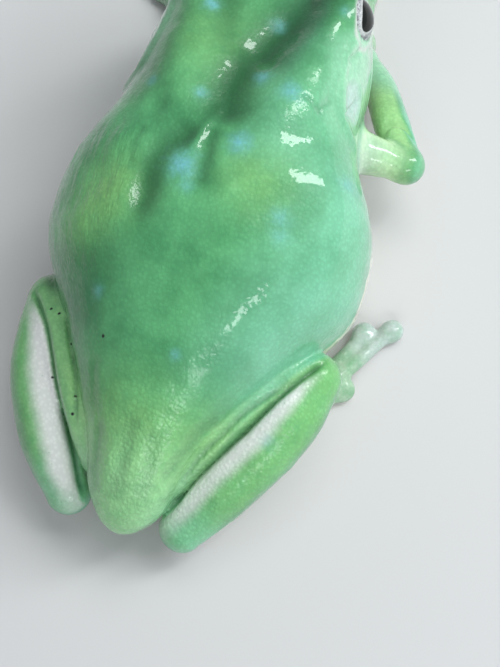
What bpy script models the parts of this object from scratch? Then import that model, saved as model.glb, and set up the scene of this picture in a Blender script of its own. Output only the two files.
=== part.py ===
"""A life-size magnificent tree frog, crouched on the floor, as still museum solids.

The head points along -Y and +Z is up. The origin is on the floor, under the middle of the belly.
Shapes are worked out in millimetres. A station is the distance in millimetres behind the snout tip.
Side +1 is the animal's left, at +X, and side -1 its right.
"""

import math

import bmesh
import bpy
import numpy as np
from mathutils import Matrix, Vector

MM = 0.001
LEFT, RIGHT = 1, -1

BODY_LENGTH = 99.0
BELLY_STATION = 58.0
GAP = 0.3

# The trunk and head as curves over the station. The spine is how far the middle lies to the left.
HALF_WIDTH = (
    (0, 9.6), (5, 13.0), (10, 15.0), (15, 16.6), (21, 17.7), (28, 18.1), (35, 19.2),
    (42, 23.0), (48, 25.1), (57, 25.4), (64, 21.8), (71, 17.0), (79, 12.4), (88, 7.8), (99, 5.2),
)
SPINE = ((0, 0), (30, 0), (45, -0.5), (60, -0.1), (80, 0.7), (99, 0.6))
TOP = (
    (0, 25.0), (6, 27.2), (14, 30.0), (22, 32.2), (34, 34.2),
    (46, 35.4), (57, 34.6), (68, 30.6), (82, 23.2), (99, 14.5),
)
WIDEST_LEVEL = ((0, 18.0), (14, 17.0), (28, 16.0), (42, 14.0), (57, 13.2), (72, 14.4), (86, 12.6), (99, 10.0))
UNDERSIDE = ((0, 12.6), (8, 9.8), (18, 7.2), (28, 4.0), (38, 0.8), (46, -0.5), (76, -0.5), (86, 1.0), (99, 6.2))
UPPER_FULLNESS = ((0, 2.3), (15, 2.7), (28, 2.9), (44, 2.7), (60, 2.3), (80, 2.0), (99, 2.0))
LOWER_FULLNESS = ((0, 2.2), (20, 2.3), (31, 1.8), (40, 1.9), (52, 2.5), (75, 2.5), (99, 2.2))
SNOUT_ROUNDING = 6.0
RUMP_ROUNDING = 7.5

# The parotoid glands behind the eyes, and the hollow between them.
GLAND_RISE = 1.9
GLAND_OFFSET = 9.8
GLAND_HALF_WIDTH = 4.6
GLAND_STATION = 29.0
GLAND_HALF_LENGTH = 13.0
NAPE_HOLLOW = 1.1
NAPE_HALF_WIDTH = 3.6

# The eye, its mound on the head and the ear drum.
EYE_STATION, EYE_OFFSET, EYE_LEVEL, EYE_RADIUS = 15.0, 11.6, 25.7, 4.7
MOUND_OFFSET, MOUND_LEVEL = 9.9, 25.4
MOUND_RADII = (5.0, 6.7, 5.6)
EAR_STATION, EAR_OFFSET, EAR_LEVEL = 27.8, 16.6, 26.3
EAR_RADII = (0.9, 3.2, 2.9)
EAR_TILT = 25.0
NECK_STATION = 32.6

# Limb centre lines: distance out from the mid plane, station, height, and the radius there.
UPPER_ARM = {
    LEFT: ((9.0, 33.0, 14.0, 3.6), (14.0, 35.5, 11.6, 3.3), (18.2, 38.4, 9.0, 2.7)),
    RIGHT: ((9.5, 30.4, 14.5, 4.4), (17.9, 29.9, 13.2, 3.6), (26.2, 29.4, 11.0, 2.4)),
}
FOREARM = {
    LEFT: ((18.2, 38.4, 9.0, 2.8), (17.6, 30.0, 7.6, 3.4), (16.0, 22.0, 5.4, 2.7), (14.6, 16.5, 3.6, 2.2)),
    RIGHT: ((26.2, 29.4, 11.0, 2.6), (21.9, 22.0, 9.2, 3.0), (17.8, 14.2, 6.0, 2.8), (13.2, 8.4, 3.6, 2.3)),
}
THIGH = {
    LEFT: ((6.4, 87.5, 9.0, 4.2), (12.4, 79.2, 11.6, 5.0), (19.2, 69.6, 13.2, 4.2)),
    RIGHT: ((5.2, 87.5, 9.0, 4.1), (10.5, 79.4, 11.4, 4.8), (18.0, 70.2, 12.9, 4.1)),
}
SHANK = {
    LEFT: ((21.4, 67.0, 12.2, 4.4), (20.8, 76.0, 10.2, 5.0), (17.0, 86.0, 8.0, 4.8), (11.2, 94.4, 5.2, 3.6)),
    RIGHT: ((21.6, 68.4, 12.4, 4.4), (18.5, 76.5, 11.0, 5.6), (13.3, 86.0, 8.6, 5.2), (8.0, 95.0, 5.4, 3.7)),
}
TARSUS = {
    LEFT: ((11.0, 93.8, 3.2, 2.7), (14.6, 84.0, 2.4, 2.4), (17.4, 76.0, 2.0, 2.5)),
    RIGHT: ((8.2, 94.2, 3.2, 2.7), (13.4, 84.5, 2.4, 2.4), (17.6, 76.0, 2.0, 2.5)),
}

# Digits, inner to outer: length, and degrees outward from straight ahead.
FINGERS = ((7.5, -50.0), (11.0, -24.0), (15.0, 6.0), (12.0, 38.0))
HAND_TURN = {LEFT: 8.0, RIGHT: -36.0}
PALM_REACH = 4.2
TOES = {
    LEFT: ((9.0, -44.0), (13.5, -25.0), (19.0, -8.0), (26.0, 7.0), (19.0, 22.0)),
    RIGHT: ((9.0, -22.0), (14.0, 1.0), (19.5, 24.0), (23.0, 31.5), (10.5, 40.0)),
}
FINGER_RADIUS, FINGER_DISC = 1.6, 2.35
TOE_RADIUS, TOE_DISC = 1.4, 1.9
DISC_HALF_HEIGHT = 1.15
PALM_LEVEL = 1.9
PALM_RADII = (4.0, 4.2, 2.0)
SOLE_RADII = (3.4, 4.6, 2.0)
WEB_HALF_HEIGHT = 0.5
FINGER_WEB_REACH, TOE_WEB_REACH = 0.55, 0.82

COLOURS = {
    "skin": (0.12, 0.42, 0.13),
    "limb_skin": (0.20, 0.50, 0.17),
    "eye": (0.55, 0.57, 0.56),
    "ear": (0.45, 0.48, 0.36),
}
FINISH = {"skin": 0.35, "limb_skin": 0.4, "eye": 0.08, "ear": 0.45}

# How finely a limb is built: steps between two knots, sides of its rings, and its rounded ends in degrees.
LIMB_STEPS, LIMB_SIDES = 6, 16
START_CAP, END_CAP = (-70, -40, 0), (0, 40, 70)

# Triangles that each reduced shape keeps.
TRIANGLES = {
    "body": 1800, "upper_arm": 120, "forearm": 170, "hand": 500, "thigh": 160, "shank": 220, "foot": 640,
}


def clear_scene():
    for obj in list(bpy.data.objects):
        bpy.data.objects.remove(obj)


def curve_value(knots, stations):
    """A smooth curve through the knots that never overshoots them (monotone cubic)."""
    x, y = np.array(knots, float).T
    step = np.diff(x)
    rise = np.diff(y) / step
    slope = np.concatenate([rise[:1], np.zeros(len(x) - 2), rise[-1:]])
    same_way = rise[:-1] * rise[1:] > 0
    weight_a, weight_b = 2 * step[1:] + step[:-1], step[1:] + 2 * step[:-1]
    with np.errstate(divide="ignore", invalid="ignore"):
        mean = (weight_a + weight_b) / (weight_a / rise[:-1] + weight_b / rise[1:])
    slope[1:-1] = np.where(same_way, mean, 0)
    at = np.clip(np.asarray(stations, float), x[0], x[-1])
    i = np.clip(np.searchsorted(x, at) - 1, 0, len(x) - 2)
    t = (at - x[i]) / step[i]
    return (
        y[i] * (1 + 2 * t) * (1 - t) ** 2
        + y[i + 1] * t * t * (3 - 2 * t)
        + slope[i] * step[i] * t * (1 - t) ** 2
        - slope[i + 1] * step[i] * t * t * (1 - t)
    )


def world(out, station, level):
    """A place given in millimetres, as a point in metres."""
    return Vector((out * MM, (station - BELLY_STATION) * MM, level * MM))


def end_rounding(station):
    """How full a section is near the snout and the rump: 1 between them, 0 at the tips."""
    snout = np.clip(1 - station / SNOUT_ROUNDING, 0, 1)
    rump = np.clip(1 - (BODY_LENGTH - station) / RUMP_ROUNDING, 0, 1)
    return np.sqrt(np.maximum(0, (1 - snout**2) * (1 - rump**2)))


def gland_relief(out, station):
    """Rise of the two glands and fall of the hollow between them, in millimetres."""
    along = np.exp(-(((station - GLAND_STATION) / GLAND_HALF_LENGTH) ** 4))
    gland = GLAND_RISE * np.exp(-(((np.abs(out) - GLAND_OFFSET) / GLAND_HALF_WIDTH) ** 2))
    hollow = NAPE_HOLLOW * np.exp(-((out / NAPE_HALF_WIDTH) ** 2))
    return along * (gland - hollow)


def body_ring(station, count):
    """One closed section of the head or trunk, as count points."""
    angle = np.linspace(0, 2 * math.pi, count, endpoint=False)
    side, rise = np.sin(angle), np.cos(angle)
    full = end_rounding(station)
    width = curve_value(HALF_WIDTH, station) * full
    middle = curve_value(WIDEST_LEVEL, station)
    above = (curve_value(TOP, station) - middle) * full
    below = (middle - curve_value(UNDERSIDE, station)) * full
    upper = rise > 0
    power = np.where(upper, curve_value(UPPER_FULLNESS, station), curve_value(LOWER_FULLNESS, station))
    out = width * np.sign(side) * np.abs(side) ** (2 / power)
    level = middle + np.where(upper, above, below) * np.sign(rise) * np.abs(rise) ** (2 / power)
    level += np.where(upper, gland_relief(out, station) * rise, 0)
    out += curve_value(SPINE, station)
    return [world(o, station, z) for o, z in zip(out, level)]


def new_object(name, mesh):
    obj = bpy.data.objects.new(name, mesh)
    frog.objects.link(obj)
    return obj


def finished(obj, colour):
    """Gives a piece of the animal its own Principled material and shades it smooth."""
    made = bpy.data.materials.new(obj.name)
    made.use_nodes = True
    shader = made.node_tree.nodes["Principled BSDF"]
    shader.inputs["Base Color"].default_value = (*COLOURS[colour], 1)
    shader.inputs["Roughness"].default_value = FINISH[colour]
    shader.inputs["Metallic"].default_value = 0
    obj.data.materials.clear()
    obj.data.materials.append(made)
    obj.data.polygons.foreach_set("use_smooth", [True] * len(obj.data.polygons))


def loft(name, first, rings, last):
    """A closed skin from one end point through rings of equal count to the other end point."""
    bm = bmesh.new()
    start, end = bm.verts.new(first), bm.verts.new(last)
    loops = [[bm.verts.new(p) for p in ring] for ring in rings]
    count = len(rings[0])
    for i in range(count):
        j = (i + 1) % count
        bm.faces.new((start, loops[0][i], loops[0][j]))
        for a, b in zip(loops, loops[1:]):
            bm.faces.new((a[i], b[i], b[j], a[j]))
        bm.faces.new((end, loops[-1][j], loops[-1][i]))
    bmesh.ops.recalc_face_normals(bm, faces=bm.faces)
    mesh = bpy.data.meshes.new(name)
    bm.to_mesh(mesh)
    bm.free()
    return new_object(name, mesh)


def body_loft():
    """Head and trunk as one skin."""
    turn = np.linspace(0, math.pi, 64)[1:-1]
    stations = BODY_LENGTH * (1 - np.cos(turn)) / 2
    rings = [body_ring(s, 48) for s in stations]
    tips = [world(curve_value(SPINE, s), s, curve_value(WIDEST_LEVEL, s)) for s in (0, BODY_LENGTH)]
    return loft("body", tips[0], rings, tips[1])


def limb(name, side, knots):
    """A tapering tube along the knots, with round ends."""
    points = np.array(knots, float)
    at = np.arange(len(points))
    fine = np.linspace(0, len(points) - 1, LIMB_STEPS * (len(points) - 1) + 1)
    out, station, level, radius = (curve_value(list(zip(at, column)), fine) for column in points.T)
    line = [world(side * o, s, z) for o, s, z in zip(out, station, level)]
    before, after = [line[0], *line[:-1]], [*line[1:], line[-1]]
    ahead = [(b - a).normalized() for a, b in zip(before, after)]
    turns = [START_CAP, *[(0,)] * (len(line) - 2), END_CAP]
    rings = [
        ring_of(centre, along, size * MM, turn)
        for centre, along, size, here in zip(line, ahead, radius, turns)
        for turn in here
    ]
    first = line[0] - ahead[0] * radius[0] * MM
    last = line[-1] + ahead[-1] * radius[-1] * MM
    return loft(name, first, rings, last)


def ring_of(centre, along, size, turn):
    """A circle round a limb; turn is how far round the limb's rounded end it lies, in degrees."""
    across = along.cross(Vector((0, 0, 1))).normalized()
    rise = across.cross(along)
    shift, scale = math.sin(math.radians(turn)) * size, math.cos(math.radians(turn)) * size
    angles = [2 * math.pi * k / LIMB_SIDES for k in range(LIMB_SIDES)]
    return [centre + along * shift + (across * math.cos(a) + rise * math.sin(a)) * scale for a in angles]


def ball(name, centre, radii, turned=None, detail=24):
    """An ellipsoid with its radii in millimetres, turned about its middle by a matrix."""
    bm = bmesh.new()
    bmesh.ops.create_uvsphere(bm, u_segments=detail, v_segments=detail // 2, radius=1)
    scale = Matrix.Diagonal([r * MM for r in radii]).to_4x4()
    bm.transform(Matrix.Translation(centre) @ (turned or Matrix()) @ scale)
    mesh = bpy.data.meshes.new(name)
    bm.to_mesh(mesh)
    bm.free()
    return new_object(name, mesh)


def box(name, low, high):
    bm = bmesh.new()
    bmesh.ops.create_cube(bm, size=1)
    size = [b - a for a, b in zip(low, high)]
    middle = Vector([(a + b) / 2 for a, b in zip(low, high)])
    bm.transform(Matrix.Translation(middle) @ Matrix.Diagonal(size).to_4x4())
    mesh = bpy.data.meshes.new(name)
    bm.to_mesh(mesh)
    bm.free()
    obj = new_object(name, mesh)
    helper(obj)
    return obj


def helper(obj):
    """Marks a cutter, which isn't part of the animal."""
    obj.hide_render = True
    obj.display_type = "WIRE"
    if obj.name in frog.objects:
        frog.objects.unlink(obj)
        cutters.objects.link(obj)
    return obj


def settled(obj):
    """Applies an object's modifiers."""
    bpy.context.view_layer.update()
    graph = bpy.context.evaluated_depsgraph_get()
    mesh = bpy.data.meshes.new_from_object(obj.evaluated_get(graph))
    obj.modifiers.clear()
    obj.data = mesh
    return obj


def joined(name, objects):
    """One object that holds the meshes of several."""
    bm = bmesh.new()
    for obj in objects:
        bm.from_mesh(obj.data)
        bpy.data.objects.remove(obj)
    mesh = bpy.data.meshes.new(name)
    bm.to_mesh(mesh)
    bm.free()
    return new_object(name, mesh)


def fused(obj, voxel, passes):
    """Overlapping shapes made one closed skin, with its creases softened."""
    remesh = obj.modifiers.new("fuse", "REMESH")
    remesh.mode = "VOXEL"
    remesh.voxel_size = voxel * MM
    smooth = obj.modifiers.new("soften", "SMOOTH")
    smooth.factor = 0.5
    smooth.iterations = passes
    return settled(obj)


def reduced(obj, triangles):
    """The same shape in about that many triangles."""
    obj.data.calc_loop_triangles()
    thin = obj.modifiers.new("thin", "DECIMATE")
    thin.ratio = min(1, triangles / len(obj.data.loop_triangles))
    thin.use_collapse_triangulate = True
    return settled(obj)


def swollen(obj, by=GAP):
    """A cutter of the same shape, larger all round."""
    cutter = bpy.data.objects.new(obj.name + "_room", obj.data.copy())
    cutters.objects.link(cutter)
    helper(cutter)
    grow = cutter.modifiers.new("grow", "DISPLACE")
    grow.strength = by * MM
    grow.mid_level = 0
    return settled(cutter)


def cut(obj, *others, operation="DIFFERENCE"):
    for other in others:
        boolean = obj.modifiers.new("cut", "BOOLEAN")
        boolean.operation = operation
        boolean.solver = "EXACT"
        boolean.object = other
    settled(obj)
    return main_piece(obj)


def main_piece(obj):
    """Drops the crumbs that a cut leaves beside the largest piece."""
    bm = bmesh.new()
    bm.from_mesh(obj.data)
    left = set(bm.verts)
    pieces = []
    while left:
        piece, edge_of_piece = set(), [left.pop()]
        while edge_of_piece:
            vert = edge_of_piece.pop()
            piece.add(vert)
            near = {e.other_vert(vert) for e in vert.link_edges} & left
            left -= near
            edge_of_piece += near
        pieces.append(piece)
    pieces.sort(key=len)
    crumbs = [v for piece in pieces[:-1] for v in piece]
    bmesh.ops.delete(bm, geom=crumbs, context="VERTS")
    bm.to_mesh(obj.data)
    bm.free()
    return obj


def web(base, tips, reach, number):
    """A thin flat sheet between two digits, hollow at its free edge."""
    a, b = (base.lerp(tip, reach) for tip in tips)
    middle = base.lerp((a + b) / 2, 0.82)
    bm = bmesh.new()
    outline = [base, a, middle, b]
    low, high = (
        [bm.verts.new((p.x, p.y, (DISC_HALF_HEIGHT + k * WEB_HALF_HEIGHT) * MM)) for p in outline]
        for k in (-1, 1)
    )
    bm.faces.new(low)
    bm.faces.new(high)
    for i in range(4):
        bm.faces.new((low[i], low[i - 1], high[i - 1], high[i]))
    bmesh.ops.recalc_face_normals(bm, faces=bm.faces)
    mesh = bpy.data.meshes.new("web")
    bm.to_mesh(mesh)
    bm.free()
    return new_object(f"web_{number}", mesh)


def digit(number, side, start, heading, length, radius, disc):
    """One finger or toe with its round pad, lying on the floor."""
    out, station = start
    dx, ds = math.sin(heading), -math.cos(heading)
    knots = [
        (out, station, 1.6, radius * 1.15),
        (out + dx * length * 0.35, station + ds * length * 0.35, 1.9, radius),
        (out + dx * length * 0.7, station + ds * length * 0.7, 1.3, radius * 0.8),
        (out + dx * length, station + ds * length, DISC_HALF_HEIGHT, radius * 0.75),
    ]
    stem = limb(f"stem_{number}", side, knots)
    tip = world(side * knots[-1][0], knots[-1][1], DISC_HALF_HEIGHT - 0.15)
    pad = ball(f"pad_{number}", tip, (disc, disc, DISC_HALF_HEIGHT), detail=16)
    return [stem, pad], tip


def paw(name, side, middle, palm_radii, digits, radius, disc, reach, stems, triangles):
    """A hand or a foot: palm, digits, webs and whatever stems lead into it, in one skin."""
    out, station = middle
    heading = math.radians(digits[len(digits) // 2][1])
    turned = Matrix.Rotation(-side * heading, 4, "Z")
    pieces = [ball("palm", world(side * out, station, PALM_LEVEL), palm_radii, turned)]
    pieces += stems
    tips = []
    for number, (length, degrees) in enumerate(digits):
        angle = math.radians(degrees)
        root = (out + math.sin(angle) * palm_radii[0] * 0.6, station - math.cos(angle) * palm_radii[1] * 0.6)
        made, tip = digit(number, side, root, angle, length, radius, disc)
        pieces += made
        tips.append(tip)
    base = world(side * out, station, 0)
    for number, pair in enumerate(zip(tips, tips[1:])):
        pieces.append(web(base, pair, reach, number))
    paw_skin = fused(joined(name, pieces), voxel=0.42, passes=3)
    return reduced(on_floor(paw_skin), triangles)


def on_floor(obj):
    """Flattens what would lie under the floor."""
    return cut(obj, floor)


def hand(side):
    out, station = FOREARM[side][-1][:2]
    heading = math.radians(HAND_TURN[side])
    middle = (out + PALM_REACH * math.sin(heading), station - PALM_REACH * math.cos(heading))
    wrist = limb("wrist", side, ((*FOREARM[side][-1][:3], 2.1), (*middle, 2.0, 2.2)))
    tilt = math.degrees(heading)
    digits = [(length, degrees + tilt) for length, degrees in FINGERS]
    return paw(
        f"hand_{WORD[side]}", side, middle, PALM_RADII, digits,
        FINGER_RADIUS, FINGER_DISC, FINGER_WEB_REACH, [wrist], TRIANGLES["hand"],
    )


def foot(side):
    tarsus = limb("tarsus", side, TARSUS[side])
    middle = TARSUS[side][-1][:2]
    return paw(
        f"foot_{WORD[side]}", side, middle, SOLE_RADII, TOES[side],
        TOE_RADIUS, TOE_DISC, TOE_WEB_REACH, [tarsus], TRIANGLES["foot"],
    )


def bent_limb(kind, knots, side):
    obj = limb(f"{kind}_{WORD[side]}", side, knots[side])
    return reduced(obj, TRIANGLES[kind])


def body():
    """Head and trunk with the eye mounds, before they are parted."""
    mounds = [
        ball("mound", world(side * MOUND_OFFSET, EYE_STATION, MOUND_LEVEL), MOUND_RADII)
        for side in (LEFT, RIGHT)
    ]
    whole = fused(joined("body", [body_loft(), *mounds]), voxel=0.8, passes=5)
    return reduced(whole, TRIANGLES["body"])


def parted_body():
    """The head and the trunk, either side of a thin cut at the neck."""
    whole = body()
    far = 200 * MM
    cut_y = world(0, NECK_STATION, 0).y
    front = box("front_half", (-far, -far, -far), (far, cut_y - GAP * MM / 2, far))
    rear = box("rear_half", (-far, cut_y + GAP * MM / 2, -far), (far, far, far))
    halves = []
    for name, keep in (("head", front), ("trunk", rear)):
        half = new_object(name, whole.data.copy())
        halves.append(cut(half, keep, operation="INTERSECT"))
    bpy.data.objects.remove(whole)
    return halves


def eye(side):
    centre = world(side * EYE_OFFSET, EYE_STATION, EYE_LEVEL)
    return ball(f"eye_{WORD[side]}", centre, (EYE_RADIUS,) * 3, detail=18)


def ear(side):
    """The round ear drum on the side of the head."""
    centre = world(side * EAR_OFFSET, EAR_STATION, EAR_LEVEL)
    turned = Matrix.Rotation(-side * math.radians(EAR_TILT), 4, "Y")
    return ball(f"ear_{WORD[side]}", centre, EAR_RADII, turned, detail=12)


WORD = {LEFT: "left", RIGHT: "right"}

clear_scene()
frog = bpy.data.collections.new("tree_frog")
cutters = bpy.data.collections.new("cutters")
bpy.context.scene.collection.children.link(frog)
bpy.context.scene.collection.children.link(cutters)
floor = box("floor", (-0.2, -0.2, -0.05), (0.2, 0.2, 0))

head, trunk = parted_body()
on_floor(trunk)
for side in (LEFT, RIGHT):
    eye_ball, ear_drum = eye(side), ear(side)
    palm, sole = hand(side), foot(side)
    forearm = bent_limb("forearm", FOREARM, side)
    upper_arm = bent_limb("upper_arm", UPPER_ARM, side)
    shank = bent_limb("shank", SHANK, side)
    thigh = bent_limb("thigh", THIGH, side)
    room = {obj: swollen(obj) for obj in (eye_ball, ear_drum, palm, sole, forearm, upper_arm, shank, thigh)}
    cut(forearm, room[palm])
    cut(upper_arm, room[forearm])
    cut(shank, room[sole])
    cut(thigh, room[shank], room[sole])
    cut(trunk, *(room[obj] for obj in (upper_arm, forearm, thigh, shank, sole)))
    cut(head, *(room[obj] for obj in (eye_ball, ear_drum, upper_arm, forearm, palm)))
    finished(eye_ball, "eye")
    finished(ear_drum, "ear")
    for obj in (palm, sole, forearm, upper_arm, shank, thigh):
        finished(obj, "limb_skin")
finished(head, "skin")
finished(trunk, "skin")
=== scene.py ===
"""The looks of a still, life-size magnificent tree frog: one skin, two eyes, a floor, light and camera.

The skin is a field of distances, in millimetres, that is negative inside the animal. Its parts are
blended where flesh runs on and meet in a crease where it is only pressed together. A place is
(out, station, level): out to the animal's left, back from the snout tip, and up from the floor.
"""

import itertools
import math

import bpy
import numpy as np
from mathutils import Matrix, Vector


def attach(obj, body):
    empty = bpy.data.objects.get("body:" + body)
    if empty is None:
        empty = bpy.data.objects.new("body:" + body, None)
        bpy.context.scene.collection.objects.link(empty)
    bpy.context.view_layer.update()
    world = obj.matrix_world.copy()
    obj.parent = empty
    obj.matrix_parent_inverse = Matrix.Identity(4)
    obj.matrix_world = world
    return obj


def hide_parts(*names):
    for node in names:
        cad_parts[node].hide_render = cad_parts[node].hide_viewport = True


MM = 0.001
LEFT, RIGHT = 1, -1
SIDES = (LEFT, RIGHT)
WORD = {LEFT: "left", RIGHT: "right"}

BODY_LENGTH = 99.0
BELLY_STATION = 58.0
# The grid that the skin is found on. Blocks of it whose middle isn't near the skin are skipped.
CELL = 0.36
GRID_LOW, GRID_HIGH = (-34.2, -15.5, -1.1), (34.2, 102.5, 40.0)
BLOCK, BLOCKS_AT_ONCE = 4, 4096
NEAR_SKIN, FAR = 2.9, 7.0
SLOPE_STEP = 0.05
# A face has turned over where the cosine between its own way and straight out is less than this.
FOLDED = 0.1

# The trunk and head as curves over the station. The spine is how far the middle lies to the left.
HALF_WIDTH = (
    (0, 9.6), (5, 13.0), (10, 15.0), (15, 16.6), (21, 17.7), (28, 18.1), (35, 19.2),
    (42, 23.0), (48, 25.1), (57, 25.4), (64, 21.8), (71, 17.0), (79, 12.4), (88, 7.8), (99, 5.2),
)
SPINE = ((0, 0), (30, 0), (45, -0.5), (60, -0.1), (80, 0.7), (99, 0.6))
TOP = (
    (0, 25.0), (6, 27.2), (14, 30.0), (22, 32.2), (34, 34.2),
    (46, 35.4), (57, 34.6), (68, 30.6), (82, 23.2), (99, 14.5),
)
WIDEST_LEVEL = (
    (0, 18.0), (14, 17.0), (28, 16.0), (42, 14.0), (57, 13.2), (72, 14.4), (86, 12.6), (99, 10.0),
)
UNDERSIDE = (
    (0, 12.6), (8, 9.8), (18, 7.2), (28, 4.0), (38, 0.8), (46, -0.5), (76, -0.5), (86, 1.0), (99, 6.2),
)
UPPER_FULLNESS = ((0, 2.3), (15, 2.7), (28, 2.9), (44, 2.7), (60, 2.3), (80, 2.0), (99, 2.0))
LOWER_FULLNESS = ((0, 2.2), (20, 2.3), (31, 1.8), (40, 1.9), (52, 2.5), (75, 2.5), (99, 2.2))
SNOUT_ROUNDING, RUMP_ROUNDING = 6.0, 7.5
EASING = 2.5
TABLE_STEP = 0.25

EYE_STATION, EYE_OFFSET, EYE_LEVEL, EYE_RADIUS = 15.0, 11.6, 25.7, 4.7
MOUND_OFFSET, MOUND_LEVEL = 9.9, 25.4
MOUND_RADII = (5.0, 6.7, 5.6)
# How much wider than the eye its socket is: a little less, so that the lids close on it.
EYE_ROOM = -0.04
EYE_BULGE = 0.22
EYE_RINGS, EYE_SPOKES = 72, 96
GAZE_RISE, GAZE_AHEAD = 29.0, 18.0
PUPIL_HALF_LENGTH, PUPIL_HALF_HEIGHT = 39.0, 23.0
OPENING_RISE, OPENING_AHEAD = 22.0, 10.0
OPENING_HALF_LENGTH, OPENING_HALF_HEIGHT = 56.0, 44.0
UPPER_LID, LOWER_LID = 0.85, 0.6
EAR_STATION, EAR_LEVEL = 28.0, 26.3
EAR_HALF_LENGTH, EAR_HALF_HEIGHT = 3.4, 2.9

# Limb centre lines: distance out from the mid plane, station, level, and the radius there.
UPPER_ARM = {
    LEFT: ((9.0, 33.0, 14.0, 3.6), (14.0, 35.5, 11.6, 3.3), (18.2, 38.4, 9.0, 2.7)),
    RIGHT: ((9.5, 30.4, 14.5, 4.4), (17.9, 29.9, 13.2, 3.6), (26.2, 29.4, 11.0, 2.4)),
}
FOREARM = {
    LEFT: ((18.2, 38.4, 9.0, 2.8), (17.6, 30.0, 7.6, 3.4), (16.0, 22.0, 5.4, 2.7), (14.6, 16.5, 3.6, 2.2)),
    RIGHT: ((26.2, 29.4, 11.0, 2.6), (21.9, 22.0, 9.2, 3.0), (17.8, 14.2, 6.0, 2.8), (13.2, 8.4, 3.6, 2.3)),
}
THIGH = {
    LEFT: ((6.4, 87.5, 9.0, 4.2), (12.4, 79.2, 11.6, 5.0), (19.2, 69.6, 13.2, 4.2)),
    RIGHT: ((5.2, 87.5, 9.0, 4.1), (10.5, 79.4, 11.4, 4.8), (18.0, 70.2, 12.9, 4.1)),
}
SHANK = {
    LEFT: ((21.4, 67.0, 12.2, 4.4), (20.8, 76.0, 10.2, 5.0), (17.0, 86.0, 8.0, 4.8), (11.2, 94.4, 5.2, 3.6)),
    RIGHT: ((21.6, 68.4, 12.4, 4.4), (18.5, 76.5, 11.0, 5.6), (13.3, 86.0, 8.6, 5.2), (8.0, 95.0, 5.4, 3.7)),
}
TARSUS = {
    LEFT: ((11.0, 93.8, 3.2, 2.7), (14.6, 84.0, 2.4, 2.4), (17.4, 76.0, 2.0, 2.5)),
    RIGHT: ((8.2, 94.2, 3.2, 2.7), (13.4, 84.5, 2.4, 2.4), (17.6, 76.0, 2.0, 2.5)),
}

# Digits, inner to outer: length, and degrees outward from straight ahead.
FINGERS = ((7.5, -50.0), (11.0, -24.0), (15.0, 6.0), (12.0, 38.0))
HAND_TURN = {LEFT: 8.0, RIGHT: -36.0}
PALM_REACH = 4.2
TOES = {
    LEFT: ((9.0, -44.0), (13.5, -25.0), (19.0, -8.0), (26.0, 7.0), (19.0, 22.0)),
    RIGHT: ((9.0, -22.0), (14.0, 1.0), (19.5, 24.0), (23.0, 31.5), (10.5, 40.0)),
}
FINGER_RADIUS, FINGER_DISC = 1.6, 2.35
TOE_RADIUS, TOE_DISC = 1.4, 1.9
DISC_HALF_HEIGHT = 1.15
PALM_RADII = (4.0, 4.2, 2.0)
SOLE_RADII = (3.4, 4.6, 2.0)
WEB_HALF_HEIGHT = 0.32
FINGER_WEB_REACH, TOE_WEB_REACH = 0.55, 0.82

# Folds (negative) and ridges seen from above: height, half width, and a path of (out, station).
BACK_LINES = (
    (-1.2, 4.0, ((-10.0, 6.0), (-7.2, 14.0), (-5.2, 20.0), (-3.2, 25.0), (-1.2, 31.0))),
    (-1.0, 3.0, (
        (-6.4, 17.0), (-4.4, 21.6), (-2.2, 26.0), (-0.4, 31.0), (0.1, 34.4), (-0.4, 38.0), (-1.4, 41.4),
    )),
    (-0.5, 2.2, ((7.5, 15.0), (5.4, 20.0), (3.6, 25.0), (2.0, 29.0))),
    (0.34, 0.9, ((0.4, 37.0), (1.2, 40.0), (1.9, 42.6), (3.2, 46.8))),
    (-0.75, 1.9, ((2.8, 41.0), (4.6, 44.0), (6.9, 46.8), (7.6, 50.4), (7.3, 54.2), (8.1, 59.4))),
    (-0.42, 1.2, ((0.7, 40.4), (0.4, 46.4), (0.2, 51.6))),
    (0.3, 1.5, ((-1.1, 42.4), (-2.3, 47.4), (-5.2, 52.0))),
    (-0.25, 0.9, ((10.6, 43.2), (11.6, 47.0), (10.2, 50.6))),
    (-0.30, 1.1, ((1.4, 83.0), (1.3, 89.0), (2.0, 95.5))),
    (-0.28, 1.0, ((-2.4, 84.0), (-2.6, 89.6), (-2.0, 94.6))),
    (-0.5, 0.8, ((6.6, 84.0), (6.0, 88.0), (5.6, 92.0), (5.0, 95.0))),
    (-0.22, 0.7, ((9.2, 76.0), (8.6, 80.0), (7.2, 84.6))),
    (0.2, 0.8, ((3.2, 86.0), (3.5, 91.0), (3.3, 95.5))),
    (0.3, 3.2, ((-2.0, 42.8), (-6.0, 43.2), (-12.0, 44.0), (-17.0, 45.0), (-23.0, 46.6))),
    (-0.3, 0.35, ((-10.4, 32.9), (-12.1, 33.6), (-13.9, 34.6))),
    (-0.3, 0.35, ((-14.2, 31.0), (-13.5, 32.9), (-13.0, 34.7))),
)
THIGH_LINES = (
    (-0.4, 0.6, ((-4.3, 91.2), (-6.2, 86.6), (-8.0, 82.7), (-10.6, 79.0))),
    (-0.6, 0.5, (
        (-5.4, 92.1), (-7.2, 88.0), (-9.0, 84.4), (-11.0, 81.3), (-13.2, 77.5), (-16.2, 73.8), (-20.0, 70.2),
    )),
    (-0.55, 0.42, ((18.0, 68.6), (16.7, 71.1), (15.1, 74.5), (13.3, 78.0), (11.9, 82.3), (10.9, 86.3))),
)
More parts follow.
